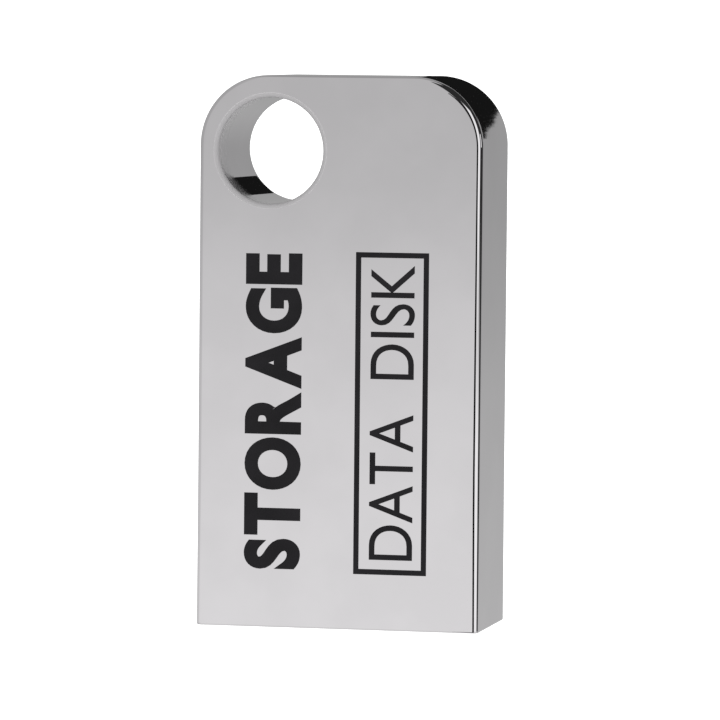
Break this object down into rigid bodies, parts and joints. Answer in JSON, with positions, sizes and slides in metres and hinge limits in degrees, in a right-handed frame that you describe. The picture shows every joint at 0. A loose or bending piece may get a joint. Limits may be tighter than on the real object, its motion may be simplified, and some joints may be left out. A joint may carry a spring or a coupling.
{
  "type": "usb flash drive",
  "caption": "Pocket USB flash drive: a slim polished metal case with a keyring hole in its upper corner, and a USB A plug that a thumb slider on the back pushes out of the foot.",
  "frame": {"origin": "middle of the foot, which the case stands on: halfway across the width, and halfway between the front face and the top of the thumb button", "axes": "+Z from the plug's mouth up to the keyring hole, +Y from the printed front face towards the back with the thumb button, +X to the right as the front face is seen"},
  "size_m": [0.014, 0.0074, 0.0268],
  "materials": {
    "chrome_case": "bright polished chrome over die-cast zinc",
    "chrome_cover": "bright polished chrome plate",
    "plug_steel": "nickel-plated strip, satin",
    "spring_steel": "drawn stainless wire",
    "black_plastic": "fine-grained black moulding",
    "laminate": "green solder mask over glass laminate",
    "gold_contacts": "gold plate",
    "chip_epoxy": "black moulded epoxy",
    "crystal_can": "nickel-plated can",
    "capacitor_ceramic": "bare brown ceramic with tinned ends",
    "resistor_film": "black coated ceramic with tinned ends",
    "ferrite": "grey ferrite with tinned ends",
    "print_ink": "black pad-printed ink on the front face"
  },
  "bodies": {
    "case": {"housing": "chrome_case", "back_cover": "chrome_cover"},
    "carriage": {"plug_shell": "plug_steel", "slider_bracket": "black_plastic", "thumb_button": "black_plastic", "detent_spring": "spring_steel", "board_tray": "black_plastic", "circuit_board": "laminate", "contact_power": "gold_contacts", "contact_data_minus": "gold_contacts", "contact_data_plus": "gold_contacts", "contact_ground": "gold_contacts", "flash_chip": "chip_epoxy", "controller_chip": "chip_epoxy", "crystal": "crystal_can", "capacitor_1": "capacitor_ceramic", "capacitor_2": "capacitor_ceramic", "capacitor_3": "capacitor_ceramic", "capacitor_4": "capacitor_ceramic", "resistor_1": "resistor_film", "resistor_2": "resistor_film", "resistor_3": "resistor_film", "ferrite_bead": "ferrite"}
  },
  "joints": [
    {"name": "carriage_slide", "type": "slide", "parent": "case", "child": "carriage", "axis": [0, 0, -1], "range_m": [0, 0.0125]}
  ]
}
